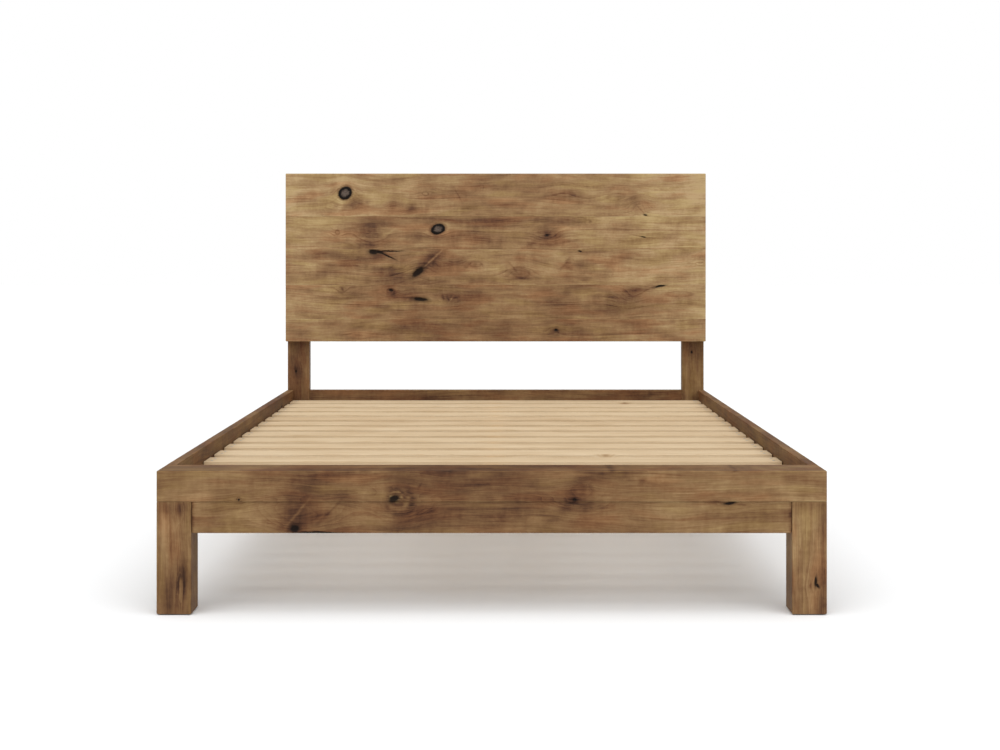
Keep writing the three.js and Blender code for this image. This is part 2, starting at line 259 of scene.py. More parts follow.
BEAM_DARKS = [
    (-240, 286, 14, 11, 25), (-486, 213, 15, 11, 10), (-428, 203, 56, 3.2, 0), (203, 284, 7, 3.6, -15),
    (587, 276, 17, 4.4, 8), (-622, 285, 3.4, 2.8, 0),
]
BEAM_RINGS = [
    (-234, 290, 27, 26, 0, 0.26), (-236, 292, 18, 18, 0, -0.55), (-226, 280, 46, 41, 20, 0.34),
    (-230, 286, 36, 33, 10, -0.24), (-622, 285, 9, 8, 0, 0.30), (222, 292, 46, 34, 0, 0.14),
]
BEAM_EYES = [
    (-498, 258, 60, 44, -20), (222, 292, 50, 34, 0), (-228, 276, 56, 44, 0), (586, 275, 34, 12, 0),
    (-622, 284, 16, 12, 0), (-395, 250, 60, 26, 15),
]
BEAM_STAINS_AND_PAINTED_SHADE = [
    (-464, 318, 42, 40, -20, 0.44), (-482, 242, 44, 42, -20, 0.80), (-396, 226, 50, 24, 0, 0.26),
    (-462, 328, 50, 26, 0, 0.10), (-429, 240, 28, 12, 20, 0.40), (-478, 252, 40, 3.4, 50, -0.50),
    (-396, 257, 40, 3.2, 46, 0.36), (-486, 216, 28, 15, 0, 0.36), (-236, 292, 15, 15, 0, 0.10),
    (-200, 298, 18, 24, 0, 0.14), (-206, 238, 46, 24, 30, 0.22), (-320, 212, 70, 9, 0, 0.48),
    (-310, 262, 50, 20, 0, -0.14), (-176, 319, 8, 3, 68, 0.36), (152, 238, 30, 12, 38, 0.30),
    (186, 266, 30, 13, 48, 0.26), (204, 284, 24, 12, 0, 0.36), (206, 283, 14, 7, -10, 0.42),
    (216, 334, 16, 16, 0, 0.18), (246, 300, 22, 15, 0, -0.22), (276, 345, 40, 10, 8, 0.22),
    (240, 273, 70, 7, 0, 0.12), (30, 238, 24, 10, 0, 0.14), (-4, 280, 15, 5, 0, 0.22),
    (-80, 262, 44, 4, 0, 0.14), (-30, 207, 170, 9, 0, -0.24), (590, 264, 50, 10, 0, 0.12),
    (-660, 250, 90, 22, 0, -0.08), (372, 330, 11, 7, 25, 0.42), (380, 326, 30, 10, 0, 0.14),
    (556, 279, 28, 3, -3, 0.46), (620, 271, 26, 3, -6, 0.36), (296, 356, 9, 3, 0, 0.50),
    (599, 354, 7, 2.4, 10, 0.45), (660, 300, 90, 3, -2, 0.14), (640, 225, 60, 8, 0, -0.08),
    (-560, 345, 120, 6, 0, -0.10), (480, 312, 90, 5, 4, 0.12), (-545, 242, 30, 34, 0, -0.16),
    # The first mark below is painted shade, darkening the front beam's top face and upper arris along its
    # whole length.
    (0, 358, 1600, 4, 0, 0.24), (30, 236, 50, 26, 0, -0.14),
]
JOINT_SHADOWS = [(-740, 240, 6, 120, 0, 0.75), (740, 240, 6, 120, 0, 0.75)]

LOW_WOOD = dict(
    seed=11.0, pith=(150, -820), ring=8.5, shade=BEAM_SHADE,
    drift=BEAM_DRIFT, darks=BEAM_DARKS, rings=BEAM_RINGS, eyes=BEAM_EYES,
)

TIMBERS = {
    "headboard_board_5": Timber(
        ALONG_X, 1.3, (1310, 1210), 9.0, PANEL_SHADE, HEAD_DRIFT[5],
        knots=[(-592, 1133, 34, 29, 35)],
        darks=[(589, 1047, 8, 3, -20)],
        eyes=[
            (-272, 1130, 30, 18, 0), (270, 1128, 64, 26, 0), (470, 1118, 60, 26, 0), (565, 1080, 34, 34, 0),
            (-592, 1112, 40, 38, 0), (-400, 1080, 40, 26, 0),
        ],
        rings=[
            (-276, 1131, 16, 9, -10, 0.30), (270, 1128, 52, 15, 0, 0.16), (470, 1118, 44, 16, 8, 0.18),
            (-592, 1133, 40, 38, 20, 0.16),
        ],
        stains=[
            (-548, 1102, 36, 28, 30, 0.44), (-630, 1150, 24, 44, 20, 0.14), (-402, 1080, 32, 22, 70, 0.44),
            (-330, 1072, 24, 16, 30, 0.52), (-450, 1072, 40, 24, 0, -0.16), (-300, 1160, 60, 14, 0, -0.12),
            (-608, 1082, 12, 26, -30, -0.34), (-606, 1172, 20, 22, 30, -0.30), (-20, 1152, 90, 14, 0, 0.20),
            (245, 1134, 60, 16, 0, 0.20), (440, 1122, 54, 22, 0, 0.22), (420, 1184, 30, 26, 0, 0.18),
            (100, 1100, 80, 16, 0, -0.06), (540, 1110, 30, 26, 40, 0.22), (-700, 1070, 80, 22, 0, -0.08),
            (640, 1180, 120, 18, 0, -0.10), (572, 1066, 24, 2.8, -48, 0.36), (-148, 1126, 27, 2.4, -62, 0.30),
            (-49, 1154, 10, 2.6, 80, 0.26), (-272, 1131, 9, 5, 0, -0.20), (60, 1176, 160, 3, 2, 0.16),
            (300, 1098, 190, 3, -8, 0.14), (690, 1146, 120, 3, 2, 0.14),
        ],
    ),
    "headboard_board_4": Timber(
        ALONG_X, 4.1, (760, 1195), 7.5, PANEL_SHADE, HEAD_DRIFT[4],
        knots=[(-227, 992, 35, 24, 16)],
        darks=[(579, 961, 10, 2.6, -8), (202, 969, 7, 3.6, 0)],
        rings=[(-621, 978, 11, 13, 0, 0.22), (330, 1028, 34, 12, 0, 0.18), (-227, 992, 42, 30, 12, 0.16)],
        eyes=[(202, 972, 44, 26, 0), (-621, 978, 22, 18, 0), (330, 1028, 50, 18, 0), (-490, 940, 60, 40, 0)],
        stains=[
            (-498, 984, 46, 50, -12, 0.60), (-452, 1012, 60, 26, 0, 0.26), (-500, 928, 60, 15, 0, 0.44),
            (-621, 978, 9, 12, 0, 0.26), (-368, 946, 52, 12, 8, -0.20), (-420, 978, 44, 4, 30, -0.20),
            (-227, 960, 50, 14, 0, 0.20), (-266, 1012, 36, 14, -30, 0.18), (-40, 1026, 210, 10, 0, 0.26),
            (214, 1022, 72, 13, -6, 0.38), (204, 980, 36, 30, 0, 0.36), (204, 970, 17, 12, 0, 0.40),
            (246, 966, 26, 14, 0, 0.22), (140, 934, 46, 9, 28, 0.32), (-110, 925, 90, 8, 0, -0.14),
            (60, 955, 120, 5, 0, 0.18), (262, 990, 40, 5, 20, -0.20), (690, 1002, 90, 6, 0, 0.14),
            (580, 962, 40, 12, 0, 0.12), (556, 966, 24, 2.2, -14, 0.40), (606, 957, 26, 2.2, -4, 0.34),
            (372, 1022, 6, 5, 20, 0.50), (90, 1000, 120, 3, 0, 0.18), (-660, 958, 140, 3, 0, 0.14),
        ],
    ),
    "headboard_board_3": Timber(
        ALONG_X, 7.7, (1000, 1235), 9.5, PANEL_SHADE, HEAD_DRIFT[3],
        darks=[
            (-480, 903, 20, 13, -12), (-462, 902, 26, 7, -10), (-418, 905, 56, 3.2, 1),
            (-430, 889, 40, 3.6, -26), (-305, 823, 34, 13.5, 38), (331, 904, 8, 3.2, -10),
        ],
        eyes=[
            (-470, 900, 60, 30, 0), (-305, 823, 60, 36, 30), (-78, 855, 34, 22, 0), (98, 820, 52, 32, 0),
            (283, 856, 22, 10, 40), (803, 866, 34, 18, 0),
        ],
        rings=[(-78, 855, 30, 16, 0, 0.24), (98, 820, 44, 26, -10, 0.18), (803, 866, 20, 9, 0, 0.30)],
        stains=[
            (-650, 886, 130, 17, -4, 0.36), (-540, 872, 90, 20, 0, 0.30), (-620, 850, 70, 7, 0, 0.16),
            (-448, 852, 40, 12, 8, -0.34), (-450, 834, 90, 5, 0, 0.26), (-392, 816, 24, 28, -30, 0.30),
            (-252, 876, 58, 24, 38, 0.60), (-250, 872, 58, 3.4, 42, -0.66), (-200, 894, 50, 12, 0, 0.24),
            (-80, 855, 22, 12, 0, 0.14), (-62, 858, 12, 6, 0, -0.24), (-40, 790, 90, 9, 0, 0.18),
            (96, 816, 42, 18, -14, 0.36), (70, 838, 32, 4, -48, 0.30), (118, 798, 66, 6, 4, 0.28),
            (274, 858, 28, 6, 52, 0.42), (288, 838, 24, 7, -25, 0.30), (240, 870, 26, 12, 0, 0.16),
            (340, 902, 32, 11, 0, 0.26), (356, 792, 20, 11, 0, 0.26), (400, 900, 40, 10, 0, 0.14),
            (795, 866, 18, 8, 0, -0.14), (800, 880, 34, 5, 20, 0.18), (520, 850, 120, 22, 0, -0.06),
            (-640, 897, 120, 2.4, 3, 0.20), (-600, 866, 140, 2.4, 6, 0.16), (-380, 868, 4, 22, 0, -0.16),
        ],
    ),
    "headboard_board_2": Timber(
        ALONG_X, 10.9, (520, 1190), 8.0, PANEL_SHADE, HEAD_DRIFT[2],
        darks=[(-411, 752, 10, 6, 0), (-296, 716, 33, 9, -5), (646, 768, 25, 5, 14)],
        rings=[(-411, 748, 20, 15, 0, 0.16), (720, 736, 62, 14, 0, 0.20), (-604, 752, 20, 16, 0, 0.16)],
        eyes=[(-411, 748, 30, 22, 0), (-185, 720, 40, 24, 0), (540, 735, 50, 34, 30), (-605, 752, 24, 16, 0)],
        stains=[
            (-604, 752, 15, 14, 40, 0.30), (-602, 756, 4, 10, 30, 0.45), (-735, 748, 20, 14, 0, 0.26),
            (-500, 742, 60, 6, 12, 0.20), (-404, 735, 24, 16, 0, 0.32), (-360, 722, 44, 2.4, -2, 0.40),
            (-185, 720, 44, 20, 0, 0.26), (-206, 722, 5, 11, 24, 0.40), (-188, 716, 8, 4, -30, 0.36),
            (-160, 722, 18, 3, 4, 0.34), (-174, 716, 11, 3, 55, -0.50), (-60, 748, 60, 16, 20, 0.22),
            (279, 741, 18, 18, 0, 0.28), (535, 735, 34, 24, 40, 0.40), (580, 758, 60, 9, 12, 0.24),
            (606, 759, 30, 2.6, 18, 0.36), (120, 744, 70, 6, 6, 0.14), (-640, 690, 110, 16, 0, -0.08),
            (420, 690, 90, 18, 0, 0.08), (-700, 722, 120, 2.6, 6, 0.18),
        ],
    ),
    "headboard_board_1": Timber(
        ALONG_X, 14.3, (860, 1200), 9.0, PANEL_SHADE, HEAD_DRIFT[1],
        darks=[(236, 596, 7, 5, 10)],
        eyes=[(236, 596, 26, 18, 0), (-540, 576, 30, 14, 0)],
        stains=[
            (236, 596, 26, 16, 0, 0.26), (-300, 610, 90, 12, 0, 0.16), (560, 600, 80, 14, 0, 0.12),
            (-540, 576, 14, 4, 5, 0.34), (-620, 590, 60, 14, 0, -0.08),
        ],
    ),
    "front_beam": Timber(ALONG_X, stains=BEAM_STAINS_AND_PAINTED_SHADE, **LOW_WOOD),
    "front_lower_rail": Timber(ALONG_X, stains=BEAM_STAINS_AND_PAINTED_SHADE + JOINT_SHADOWS, **LOW_WOOD),
    "front_leg_left": Timber(
        ALONG_Z, 21.0, (-700, -1290), 8.0, BEAM_SHADE,
        [(0, 0.58), (100, 0.56), (150, 0.70), (220, 0.74), (280, 0.60)],
        eyes=[(62, -766, 46, 10, 0), (262, -770, 24, 14, 0)],
        rings=[(62, -765, 50, 9, 0, 0.30), (60, -765, 80, 15, 0, 0.20)],
        stains=[
            (44, -794, 70, 14, 0, 0.42), (262, -801, 16, 11, 0, 0.40), (262, -768, 16, 12, 0, 0.46),
            (78, -771, 16, 2.4, 8, 0.34), (54, -769, 10, 2.2, -10, 0.30), (70, -757, 60, 4, 0, 0.16),
            (170, -789, 56, 4.4, -4, 0.34), (96, -752, 80, 3, 0, 0.24), (56, -767, 34, 5, 0, -0.08),
            # The last mark below is painted shade on the leg's inner side face.
            (186, -762, 60, 6, 0, -0.08), (130, -739, 260, 3, 0, 0.20),
        ],
    ),
    "front_leg_right": Timber(
        ALONG_Z, 26.0, (690, -1270), 7.5, SIDE_SHADE,
        [(0, 0.64), (80, 0.66), (160, 0.78), (230, 0.74), (280, 0.64)],
        darks=[(82, 798, 15, 4, 4), (72, 802, 8, 4, -30)],
        eyes=[(80, 798, 34, 14, 0), (71, 784, 14, 8, 0)],
        stains=[
            (34, 812, 56, 14, 0, 0.50), (118, 815, 50, 9, -4, 0.42), (210, 817, 76, 9, 0, 0.40),
            (71, 784, 6, 3, 0, 0.46), (74, 783, 15, 5, 0, 0.24), (100, 803, 26, 6, 10, 0.24),
            (150, 755, 120, 1.6, 0, 0.26), (30, 775, 40, 14, 0, -0.08), (66, 808, 5, 2, 20, -0.3),
            # The mark below is painted shade on the leg's inner side face.
            (130, 739, 260, 3, 0, 0.26),
        ],
    ),
    "side_rail_left": Timber(
        ALONG_Y, 31.0, (120, -1010), 8.0, SIDE_SHADE,
        [(-1100, 0.50), (-500, 0.44), (0, 0.50), (560, 0.42), (1120, 0.54)],
        knots=[(318, 268, 20, 16, 10)],
        darks=[(-380, 305, 9, 5, 12), (-350, 303, 30, 2.0, -4), (-810, 238, 6, 4, 0), (770, 322, 14, 3, 8)],
        eyes=[(-380, 304, 44, 26, 0), (318, 268, 50, 34, 0), (-810, 238, 24, 16, 0), (770, 322, 40, 18, 0)],
        stains=[
            (-400, 290, 46, 40, 12, 0.32), (350, 250, 50, 22, 0, 0.30), (-60, 320, 120, 14, 0, 0.18),
            (760, 315, 60, 16, 0, 0.24), (560, 250, 90, 16, 0, -0.12), (-900, 300, 80, 16, 0, 0.12),
        ],
    ),
    "side_rail_right": Timber(
        ALONG_Y, 36.0, (96, 1030), 7.6, SIDE_SHADE,
        [(-1100, 0.54), (-420, 0.50), (100, 0.44), (700, 0.50), (1120, 0.56)],
        knots=[(-505, 292, 17, 14, -10)],
        darks=[(150, 248, 9, 5, -8), (180, 249, 26, 2.0, 3), (690, 300, 7, 4, 0), (-900, 226, 12, 2.6, 5)],
        eyes=[(150, 248, 44, 26, 0), (-505, 292, 46, 30, 0), (690, 300, 26, 16, 0)],
        stains=[
            (170, 240, 50, 30, 0, 0.32), (-470, 300, 44, 20, 0, 0.28), (700, 296, 50, 18, 0, 0.26),
            (-160, 320, 110, 14, 0, 0.14), (420, 230, 90, 12, 0, -0.12),
        ],
    ),
    "headboard_post_left": Timber(
        ALONG_Z, 41.0, (-700, 1250), 8.0, SIDE_SHADE, [(0, 0.46), (300, 0.52), (700, 0.46), (1180, 0.52)],
        darks=[(430, -790, 7, 4, 0), (905, -770, 9, 4, 8)],
        eyes=[(430, -790, 32, 18, 0), (905, -770, 36, 18, 0)],
        stains=[(430, -786, 36, 18, 0, 0.26), (905, -772, 40, 20, 0, 0.26), (180, -770, 80, 12, 0, 0.16)],
    ),
    "headboard_post_right": Timber(
        ALONG_Z, 46.0, (690, 1260), 8.0, SIDE_SHADE, [(0, 0.48), (350, 0.54), (800, 0.48), (1180, 0.54)],
        darks=[(505, 776, 6, 4, 0), (160, 795, 11, 2.4, 4)],
        eyes=[(505, 776, 30, 16, 0)],
        stains=[(505, 778, 34, 16, 0, 0.26), (240, 800, 90, 10, 0, 0.18), (980, 790, 90, 12, 0, 0.14)],
    ),
    "headboard_batten_left": Timber(
        ALONG_Z, 51.0, (-420, 1300), 7.0, SIDE_SHADE, [(580, 0.46), (1180, 0.52)],
        stains=[(800, -262, 60, 12, 0, 0.2)],
    ),
    "headboard_batten_right": Timber(
        ALONG_Z, 56.0, (430, 1290), 7.5, SIDE_SHADE, [(580, 0.50), (1180, 0.44)],
        stains=[(980, 258, 70, 10, 0, 0.2)],
    ),
    "head_cross_rail": Timber(
        ALONG_X, 61.0, (90, 1250), 8.0, SIDE_SHADE, [(-825, 0.46), (0, 0.50), (825, 0.46)]
    ),
    "foot_inner_rail": Timber(
        ALONG_X, 66.0, (80, -1200), 8.0, SIDE_SHADE, [(-825, 0.48), (0, 0.44), (825, 0.50)]
    ),
}


def grey(value):
    return [value] * 3 + [1.0]


def shaded(colour, shares):
    return [value * share for value, share in zip(colour, shares)] + [1.0]


def measure(place, mark):
    """How far the place is from a mark's middle, in its own half sizes: 1 is its rim."""
    along, across, half_along, half_across, tilt = mark[:5]
    inside = add_node(
        place.tree, "ShaderNodeMapping", place, (along, across, 0), (0, 0, math.radians(tilt)),
        (half_along, half_across, MARK_DEPTH), vector_type="TEXTURE",
    )
    return add_node(place.tree, "ShaderNodeVectorMath", inside, output=1, operation="LENGTH")


def nearest(place, marks):
    """The smallest measure over some marks."""
    result = measure(place, marks[0])
    for mark in marks[1:]:
        result = result.math("MINIMUM", measure(place, mark))
    return result


def falloff(distance, spread):
    """1 in a mark's middle, fading like a bell curve over spread times its size."""
    return (distance * distance * (-1 / spread**2)).math("EXPONENT")


def bend_grain(place, across, marks):
    """How far the marks push the grain aside, how far they lift the growth rings, and how near they are."""
    push = lift = near = None
    for mark in marks:
        reach = falloff(measure(place, mark), 1.3)
        aside = reach * (across - mark[1]) * 0.66
        raised = reach * (0.9 * mark[3])
        push = push + aside if push else aside
        lift = lift + raised if lift else raised
        near = near.math("MAXIMUM", reach) if near else reach
    return push, lift, near


def paint_timber(name):
    """The stained wood of one timber, with its own knots, cracks and stains."""
    timber = TIMBERS[name]
    material, tree, shader = new_material("wood_" + name)
    (along, across, through), place = millimetres(tree, timber.axes)
    wobble = noise(place, (30, 18, 30), timber.seed, 6.0, 0.68, output=1)
    centred = add_node(tree, "ShaderNodeVectorMath", wobble, (0.5, 0.5, 0.5), operation="SUBTRACT")
    shaken = add_node(tree, "ShaderNodeVectorMath", centred, (16, 11, 11), place, operation="MULTIPLY_ADD")

    # The grain wanders, and is pushed aside by knots and eyes.
    bent = across + (noise(place, (520, 130, 160), timber.seed + 3, 1.0) - 0.5) * 60
    lift = near = None
    if timber.knots or timber.eyes:
        push, lift, near = bend_grain(shaken, across, timber.knots + timber.eyes)
        bent = bent - push
    flow = add_node(tree, "ShaderNodeCombineXYZ", along, bent, through)

    # The growth rings lie round the pith. late_wood is each ring's dark line, and bold that of some.
    pith_across, pith_through = timber.pith
    reach = add_node(tree, "ShaderNodeCombineXYZ", bent - pith_across, through - pith_through)
    ring_place = add_node(tree, "ShaderNodeVectorMath", reach, output=1, operation="LENGTH")
    if lift:
        ring_place = ring_place + lift
    spacing = noise(flow, (700, 34, 60), timber.seed + 7, 1.0)
    phase = ring_place * (1 / timber.ring) + spacing * 3.2
    late_wood = phase.math("FRACT").math("POWER", 3.0)
    bold = (phase * 0.29).math("FRACT").math("POWER", 9.0)

    # Patterns along the grain. show is how far the rings and the figure come out at each place.
    fibre = noise(flow, (60, 1.5, 1.5), timber.seed + 11, 3.0, 0.6)
    grain = noise(flow, (120, 4.0, 5), timber.seed + 12, 3.0, 0.65)
    streak = noise(flow, (250, 11, 16), timber.seed + 13, 3.0, 0.55)
    cloud = noise(flow, (130, 46, 60), timber.seed + 17, 3.0, 0.5)
    fleck = noise(flow, (9, 8, 8), timber.seed + 18, 2.0)
    figure = noise(flow, (20, 64, 50), timber.seed + 19, 3.0)
    show = noise(flow, (260, 30, 40), timber.seed + 23, 1.0).smooth(0.38, 0.66)
    if near:
        show = show.math("MAXIMUM", near)
    pores = noise(flow, (9, 0.7, 0.7), timber.seed + 29, 1.0).smooth(0.64, 0.76)

    # The tone, 0 dark to 1 light. Each pattern adds its share to the drift's.
    low, high = timber_box(name, timber.axes)
    length = (along - low[0]) * (1 / (high[0] - low[0]))
    stops = [((at - low[0]) / (high[0] - low[0]), grey(value)) for at, value in timber.drift]
    tone = ramp(length, [(min(max(at, 0), 1), value) for at, value in stops], interpolation="EASE")
    tone = tone + (fibre - 0.5) * 0.66 + (grain - 0.5) * 0.33 + (streak - 0.5) * 0.31
    tone = tone + (cloud - 0.5) * 0.96 + (fleck - 0.5) * 0.20
    tone = tone + (figure - 0.5) * (show * 0.6 + 0.4) * 0.41
    tone = tone - late_wood * show * 0.16 - bold * (show * 0.7 + 0.3) * 0.20 - pores * 0.08
    for mark in timber.rings:
        rim = measure(shaken, mark)
        tone = tone - falloff(rim - 1.0, 0.15) * grain.smooth(0.36, 0.54) * mark[5]
    # Stains, and painted shade on the beam's top face, the legs' inner faces and the rail's ends at the legs.
    for mark in timber.stains:
        tone = tone - falloff(measure(shaken, mark), 1.0) * mark[5]
    wear = arrises(place, low, high, 5.0) * noise(place, (40, 9, 9), timber.seed + 31, 2.0).smooth(0.30, 0.62)
    tone = tone + wear * 0.12
    if timber.knots:
        ring = nearest(shaken, timber.knots)
        tone = tone + ring.smooth(1.7, 1.2) * 0.12
    colour = ramp(tone, [(at, shaded(tint, timber.shade)) for at, tint in STAINED_TONES])
    hue = noise(flow, (180, 44, 60), timber.seed + 37, 2.0) - (tone - 0.55) * 0.12
    colour = mix_colours(hue.smooth(0.46, 0.68) + bold * 0.2, colour, RED_TINT, "MULTIPLY")
    colour = mix_colours(hue.smooth(0.50, 0.30), colour, OLIVE_TINT, "MULTIPLY")

    height = fibre * 0.5 + streak * 0.25 - late_wood * 0.12 - pores * 0.5
    rough = (fibre - 0.5) * 0.22 + (cloud - 0.5) * 0.16 + 0.50 + wear * 0.06
    if timber.knots:
        heart = noise(place, (7, 5, 6), timber.seed + 41, 4.0, 0.7)
        cover = ramp(ring * 0.5, [(at, grey(value)) for at, value in KNOT_COVER])
        knot = ramp(ring * 0.5 + (heart - 0.5) * ring.smooth(1.0, 0.6) * 0.5, KNOT_TONES)
        colour = mix_colours(cover, colour, knot)
        height = height - ring.smooth(1.15, 0.9) * 0.6 + heart * cover * 0.8
        rough = rough + cover * 0.12
    if timber.darks:
        dark = nearest(shaken, timber.darks)
        cover = ramp(dark * 0.45, [(at, grey(value)) for at, value in DARK_COVER])
        colour = mix_colours(cover, colour, ramp(dark * 0.45, DARK_TONES))
        height = height - dark.smooth(1.3, 0.6)
        rough = rough + cover * 0.2
    finish_shader(shader, colour, rough, height, 0.0004)
    return material


def timber_box(name, axes):
    """A CAD node's lowest and highest corners in millimetres, in the order along, across, through."""
    low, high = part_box(name)
    return [low[axis] * 1000 for axis in axes], [high[axis] * 1000 for axis in axes]


def finish_shader(shader, colour, rough, height, depth):
    """Links a pattern's colour, roughness and height to a shader. Its bumps are depth metres deep."""
    tree = colour.tree
    bump = add_node(tree, "ShaderNodeBump", BUMP_STRENGTH, depth, None, height)
    tree.links.new(colour.socket, shader.inputs["Base Color"])
    tree.links.new(rough.math("ADD", 0.0, clamp=True).socket, shader.inputs["Roughness"])
    tree.links.new(bump.socket, shader.inputs["Normal"])
    shader.inputs["Specular IOR Level"].default_value = SHEEN


# ---- Pale slat wood, steel and nylon ----

SLAT_TONES = [
    (0.00, linear(116, 86, 60)),
    (0.25, linear(172, 142, 108)),
    (0.50, linear(199, 173, 138)),
    (0.75, linear(214, 191, 158)),
    (1.00, linear(226, 207, 178)),
]
ZINC_TONES = [(0.0, linear(138, 138, 140)), (0.5, linear(178, 179, 182)), (1.0, linear(206, 204, 196))]
NYLON_TONES = [(0.0, linear(20, 20, 21)), (0.5, linear(34, 34, 35)), (1.0, linear(74, 73, 72))]


def paint_pale_wood(name, axes, pitch, offset, seed):
    """Plain-sawn softwood. Each board of a row at this pitch has its own tone, rings and knots."""
    material, tree, shader = new_material(name)
    (along, across, through), _ = millimetres(tree, axes)
    index = ((across - offset) * (1 / pitch)).math("FLOOR")
    chance = add_node(tree, "ShaderNodeTexWhiteNoise", None, index + seed, noise_dimensions="1D")
    own_along = along + index * 731.0 + chance * 240.0
    own_place = add_node(tree, "ShaderNodeCombineXYZ", own_along, across, through)
    wander = (noise(own_place, (420, 70, 70), seed, 1.0) - 0.5) * 36
    bent = across + wander
    flow = add_node(tree, "ShaderNodeCombineXYZ", own_along, bent, through)

    in_row = ((across - offset) * (1 / pitch)).math("FRACT") * pitch
    reach = add_node(tree, "ShaderNodeCombineXYZ", in_row + wander - chance * 90.0, through - 262.0, 0.0)
    ring_place = add_node(tree, "ShaderNodeVectorMath", reach, output=1, operation="LENGTH")
    cells = add_node(tree, "ShaderNodeMapping", flow, None, None, (1 / 330, 1 / 120, 1 / 400))
    spot = add_node(tree, "ShaderNodeTexVoronoi", cells, None, 1.0)
    knot = falloff(spot, 0.07)
    phase = ring_place * 0.24 + knot * 2.4 + noise(flow, (500, 22, 40), seed + 3, 1.0) * 2.0
    late_wood = phase.math("FRACT").math("POWER", 2.4)
    fibre = noise(flow, (70, 1.3, 1.3), seed + 5, 3.0, 0.6)
    cloud = noise(flow, (160, 40, 40), seed + 9, 2.0)
    tone = (chance - 0.5) * 0.16 + 0.66 + (fibre - 0.5) * 0.30 + (cloud - 0.5) * 0.4
    tone = tone - late_wood * 0.24 - falloff(spot, 0.05) * 0.62
    colour = ramp(tone, SLAT_TONES)
    rough = (fibre - 0.5) * 0.2 + 0.62
    finish_shader(shader, colour, rough, fibre - late_wood * 0.3, 0.0003)
    return material


def paint_steel():
    """Bright zinc plating: cloudy passivation, fine scratches and duller patches."""
    material, tree, shader = new_material("zinc_plate")
    _, place = millimetres(tree, ALONG_X)
    cloud = noise(place, (14, 14, 14), 2.0, 3.0)
    scratch = noise(place, (22, 0.5, 0.9), 5.0, 2.0)
    grain = noise(place, (0.9, 0.9, 0.9), 8.0, 2.0)
    tone = (cloud - 0.5) * 1.1 + (scratch - 0.5) * 0.5 + 0.5
    colour = ramp(tone, ZINC_TONES)
    rough = (cloud - 0.5) * 0.3 + (scratch - 0.5) * 0.3 + 0.36
    finish_shader(shader, colour, rough, scratch * 0.5 + grain * 0.5, 0.00008)
    shader.inputs["Metallic"].default_value = 1.0
    return material


def paint_nylon():
    """Moulded black nylon: a fine spark-eroded texture, faint clouds and scuffs."""
    material, tree, shader = new_material("moulded_nylon")
    _, place = millimetres(tree, ALONG_X)
    texture = noise(place, (0.7, 0.7, 0.7), 3.0, 2.0)
    cloud = noise(place, (9, 9, 9), 6.0, 2.0)
    scuff = noise(place, (6, 1.2, 6), 9.0, 3.0).smooth(0.58, 0.74)
    tone = (cloud - 0.5) * 0.6 + (texture - 0.5) * 0.4 + scuff * 0.4 + 0.3
    colour = ramp(tone, NYLON_TONES)
    rough = (texture - 0.5) * 0.2 + scuff * 0.2 + 0.52
    finish_shader(shader, colour, rough, texture, 0.0001)
    return material


# ---- Carved boards ----

EASE = 0.003  # how far the boards' edges are rounded off
TIGHT, SEAM = 0.0008, 0.0003  # the same where two timbers meet closely, and where two boards are glued
GLUE = 0.00016  # how far a glued side grows to touch its neighbour
EASE_LINES = (0.0, 0.12, 0.4, 0.75, 1.0)
WIDE_STEP, FINE_STEP = 0.022, 0.0022
CRACK_DEPTH, KNOT_DEPTH = 0.0022, 0.0011
KNOT_RIM, KNOT_RIM_WIDTH, CRACK_RIM = 0.92, 0.16, 1.15  # in the marks' half sizes
KNOT_HEART = 0.35  # how deep a knot's heart is sunk, as a share of the depth of its rim
FULL_CRACK = 4  # a crack of this half width in millimetres is as deep as any


def grid_lines(low, high, eases, fine):
    """Places from low to high for a board's grid lines, close together in its eased ends and fine spans."""
    start, stop = low + eases[0], high - eases[1]
    lines = [low + eases[0] * share for share in EASE_LINES]
    at = start
    while at < stop - FINE_STEP * 0.6:
        close = any(middle - reach <= at <= middle + reach for middle, reach in fine)
        ahead = [middle - reach for middle, reach in fine if middle - reach > at]
        step = FINE_STEP if close else min([WIDE_STEP] + [max(edge - at, FINE_STEP) for edge in ahead])
        at = min(at + step, stop)
        lines.append(at)
    if lines[-1] < stop:
        lines.append(stop)
    return lines + [high - eases[1] * share for share in reversed(EASE_LINES[:-1])]


def distance_from(mark, along, across):
    """How far each place is from a mark's middle, in the mark's half sizes."""
    turn = math.radians(mark[4])
    x, y = along * 1000 - mark[0], across * 1000 - mark[1]
    p = (x * math.cos(turn) + y * math.sin(turn)) / mark[2]
    q = (y * math.cos(turn) - x * math.sin(turn)) / mark[3]
    return np.hypot(p, q)


def sink(timber, along, across):
    """How deep the timber's face is sunk at each place, in metres."""
    depth = np.zeros_like(along)
    for mark in timber.knots:
        distance = distance_from(mark, along, across)
        rim = np.exp(-(((distance - KNOT_RIM) / KNOT_RIM_WIDTH) ** 2))
        depth = np.maximum(depth, KNOT_DEPTH * (rim + KNOT_HEART * (distance < KNOT_RIM)))
    for mark in timber.darks:
        shape = np.clip(CRACK_RIM - distance_from(mark, along, across), 0, 1)
        depth = np.maximum(depth, CRACK_DEPTH * (shape * min(1.0, mark[3] / FULL_CRACK)))
    return depth


